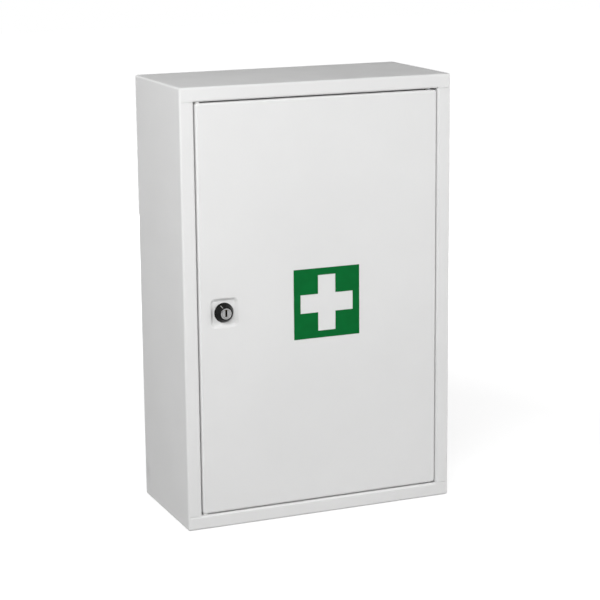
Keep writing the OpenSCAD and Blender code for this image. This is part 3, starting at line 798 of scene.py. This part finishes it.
def make_floor(settings):
    """A wide pale floor just under the cabinet. It takes the shadow, and is lifted to white
    for the rays that show it, the more the farther it is from the cabinet."""
    half, drop = 6.0, -0.3 * MM
    mesh = bpy.data.meshes.new("floor")
    mesh.from_pydata([(-half, -half, drop), (half, -half, drop), (half, half, drop),
                      (-half, half, drop)], [], [(0, 1, 2, 3)])
    floor = bpy.data.objects.new("floor", mesh)
    bpy.context.scene.collection.objects.link(floor)
    finish = Finish("studio_floor", settings.floor_colour, 0.9)
    finish.set("Specular IOR Level", 0.0)
    tree = finish.tree
    away = finish.node("ShaderNodeVectorMath", {0: finish.place}, operation="LENGTH")
    white = finish.remap(
        away.outputs["Value"], settings.near_lift, 1.0, settings.near_reach, settings.far_reach)
    glow = finish.node("ShaderNodeEmission", {
        "Strength": finish.maths("MULTIPLY", seen_directly(tree), white)})
    both = finish.node("ShaderNodeAddShader", {0: finish.surface.outputs[0], 1: glow.outputs[0]})
    tree.links.new(both.outputs[0], tree.nodes["Material Output"].inputs["Surface"])
    mesh.materials.append(finish.material)


def make_world(scene, settings):
    """White where it is seen, and a plain soft light from all round."""
    world = bpy.data.worlds.new("studio")
    world.use_nodes = True
    scene.world = world
    tree = world.node_tree
    white = tree.nodes["Background"]
    white.inputs["Strength"].default_value = 1.0
    white.inputs["Color"].default_value = WHITE
    soft = add_node(tree, "ShaderNodeBackground", {"Color": WHITE, "Strength": settings.ambient})
    mixed = add_node(tree, "ShaderNodeMixShader", {
        0: seen_directly(tree), 1: soft.outputs[0], 2: white.outputs[0]})
    tree.links.new(mixed.outputs[0], tree.nodes["World Output"].inputs["Surface"])


def direction(azimuth, elevation):
    """Unit vector to a place seen from the cabinet. Azimuth 0 is the front, and it grows to the
    right."""
    return Vector((math.sin(azimuth) * math.cos(elevation),
                   -math.cos(azimuth) * math.cos(elevation), math.sin(elevation)))


def make_lamp(name, power, size, azimuth, elevation, distance, target):
    """A soft rectangular lamp that faces target and isn't seen itself."""
    light = bpy.data.lights.new(name, "AREA")
    light.energy = power
    light.shape = "RECTANGLE"
    light.size, light.size_y = size
    lamp = bpy.data.objects.new(name, light)
    bpy.context.scene.collection.objects.link(lamp)
    lamp.visible_camera = False
    way = direction(math.radians(azimuth), math.radians(elevation))
    lamp.location = target + way * distance
    lamp.rotation_mode = "QUATERNION"
    lamp.rotation_quaternion = way.to_track_quat("Z", "Y")


# The setting for each lamp's power, its width and height in metres, its azimuth and elevation
# in degrees, and its distance in metres from the cabinet's middle.
LAMPS = {
    "key_lamp": ("key_power", (0.8, 0.8), -30.0, 30.0, 1.8),
    "strip_lamp": ("strip_power", (0.3, 0.9), -76.0, 28.0, 1.3),
    "fill_lamp": ("fill_power", (0.9, 0.6), 60.0, 12.0, 1.8),
    "edge_lamp": ("edge_power", (0.2, 0.2), -160.0, 24.0, 1.0),
    "right_lamp": ("right_power", (0.8, 0.4), 100.0, 0.0, 1.6),
    "rear_lamp": ("rear_power", (0.9, 0.4), 172.0, 0.0, 1.8),
}


def make_lamps(settings):
    """Every lamp of LAMPS, facing the cabinet's middle."""
    middle = (CAD_BOX[0] + CAD_BOX[1]) / 2
    for name, (power, size, azimuth, elevation, distance) in LAMPS.items():
        make_lamp(name, getattr(settings, power), size, azimuth, elevation, distance, middle)


def make_camera(scene, settings):
    """A long lens at the height and side from which the cabinet is shown.

    Its target lies in the plane of the body's front."""
    target = Vector((-22.9, -70.0, 234.1)) * MM
    back = direction(settings.azimuth, settings.elevation)
    level = Vector((0.0, 0.0, 1.0)).cross(back).normalized()
    above = back.cross(level)
    right = level * math.cos(settings.roll) + above * math.sin(settings.roll)
    up = back.cross(right)
    place = target + back * settings.distance
    data = bpy.data.cameras.new("camera")
    data.lens = settings.lens
    data.sensor_width = SENSOR_W
    data.clip_start, data.clip_end = 0.05, 50.0
    camera = bpy.data.objects.new("camera", data)
    scene.collection.objects.link(camera)
    turn = Matrix((right, up, back)).transposed().to_4x4()
    camera.matrix_world = Matrix.Translation(place) @ turn
    scene.camera = camera


OPERATORS = (
    CABINET_OT_sheet_metal,
    CABINET_OT_hinges,
    CABINET_OT_shelf_fittings,
    CABINET_OT_lock,
    CABINET_OT_sign,
    CABINET_OT_spot_welds,
    CABINET_OT_stage,
)


class CABINET_PT_sidebar(bpy.types.Panel):
    """Lists the cabinet's operators and their settings"""

    bl_idname = "CABINET_PT_sidebar"
    bl_label = "Medicine Cabinet"
    bl_space_type = "VIEW_3D"
    bl_region_type = "UI"
    bl_category = "Cabinet"

    def draw(self, context):
        for operator in OPERATORS:
            self.layout.operator(operator.bl_idname)
        for name, group in SETTINGS.items():
            box = self.layout.box()
            settings = getattr(context.scene, name)
            for key in group.__annotations__:
                box.prop(settings, key)


def register():
    for kind in (*SETTINGS.values(), *OPERATORS, CABINET_PT_sidebar):
        bpy.utils.register_class(kind)
    for name, group in SETTINGS.items():
        setattr(bpy.types.Scene, name, PointerProperty(type=group))


def unregister():
    for name in SETTINGS:
        delattr(bpy.types.Scene, name)
    for kind in (CABINET_PT_sidebar, *OPERATORS, *SETTINGS.values()):
        bpy.utils.unregister_class(kind)


def main():
    register()
    for operator in OPERATORS:
        group, name = operator.bl_idname.split(".")
        getattr(getattr(bpy.ops, group), name)()


if __name__ == "__main__":
    main()
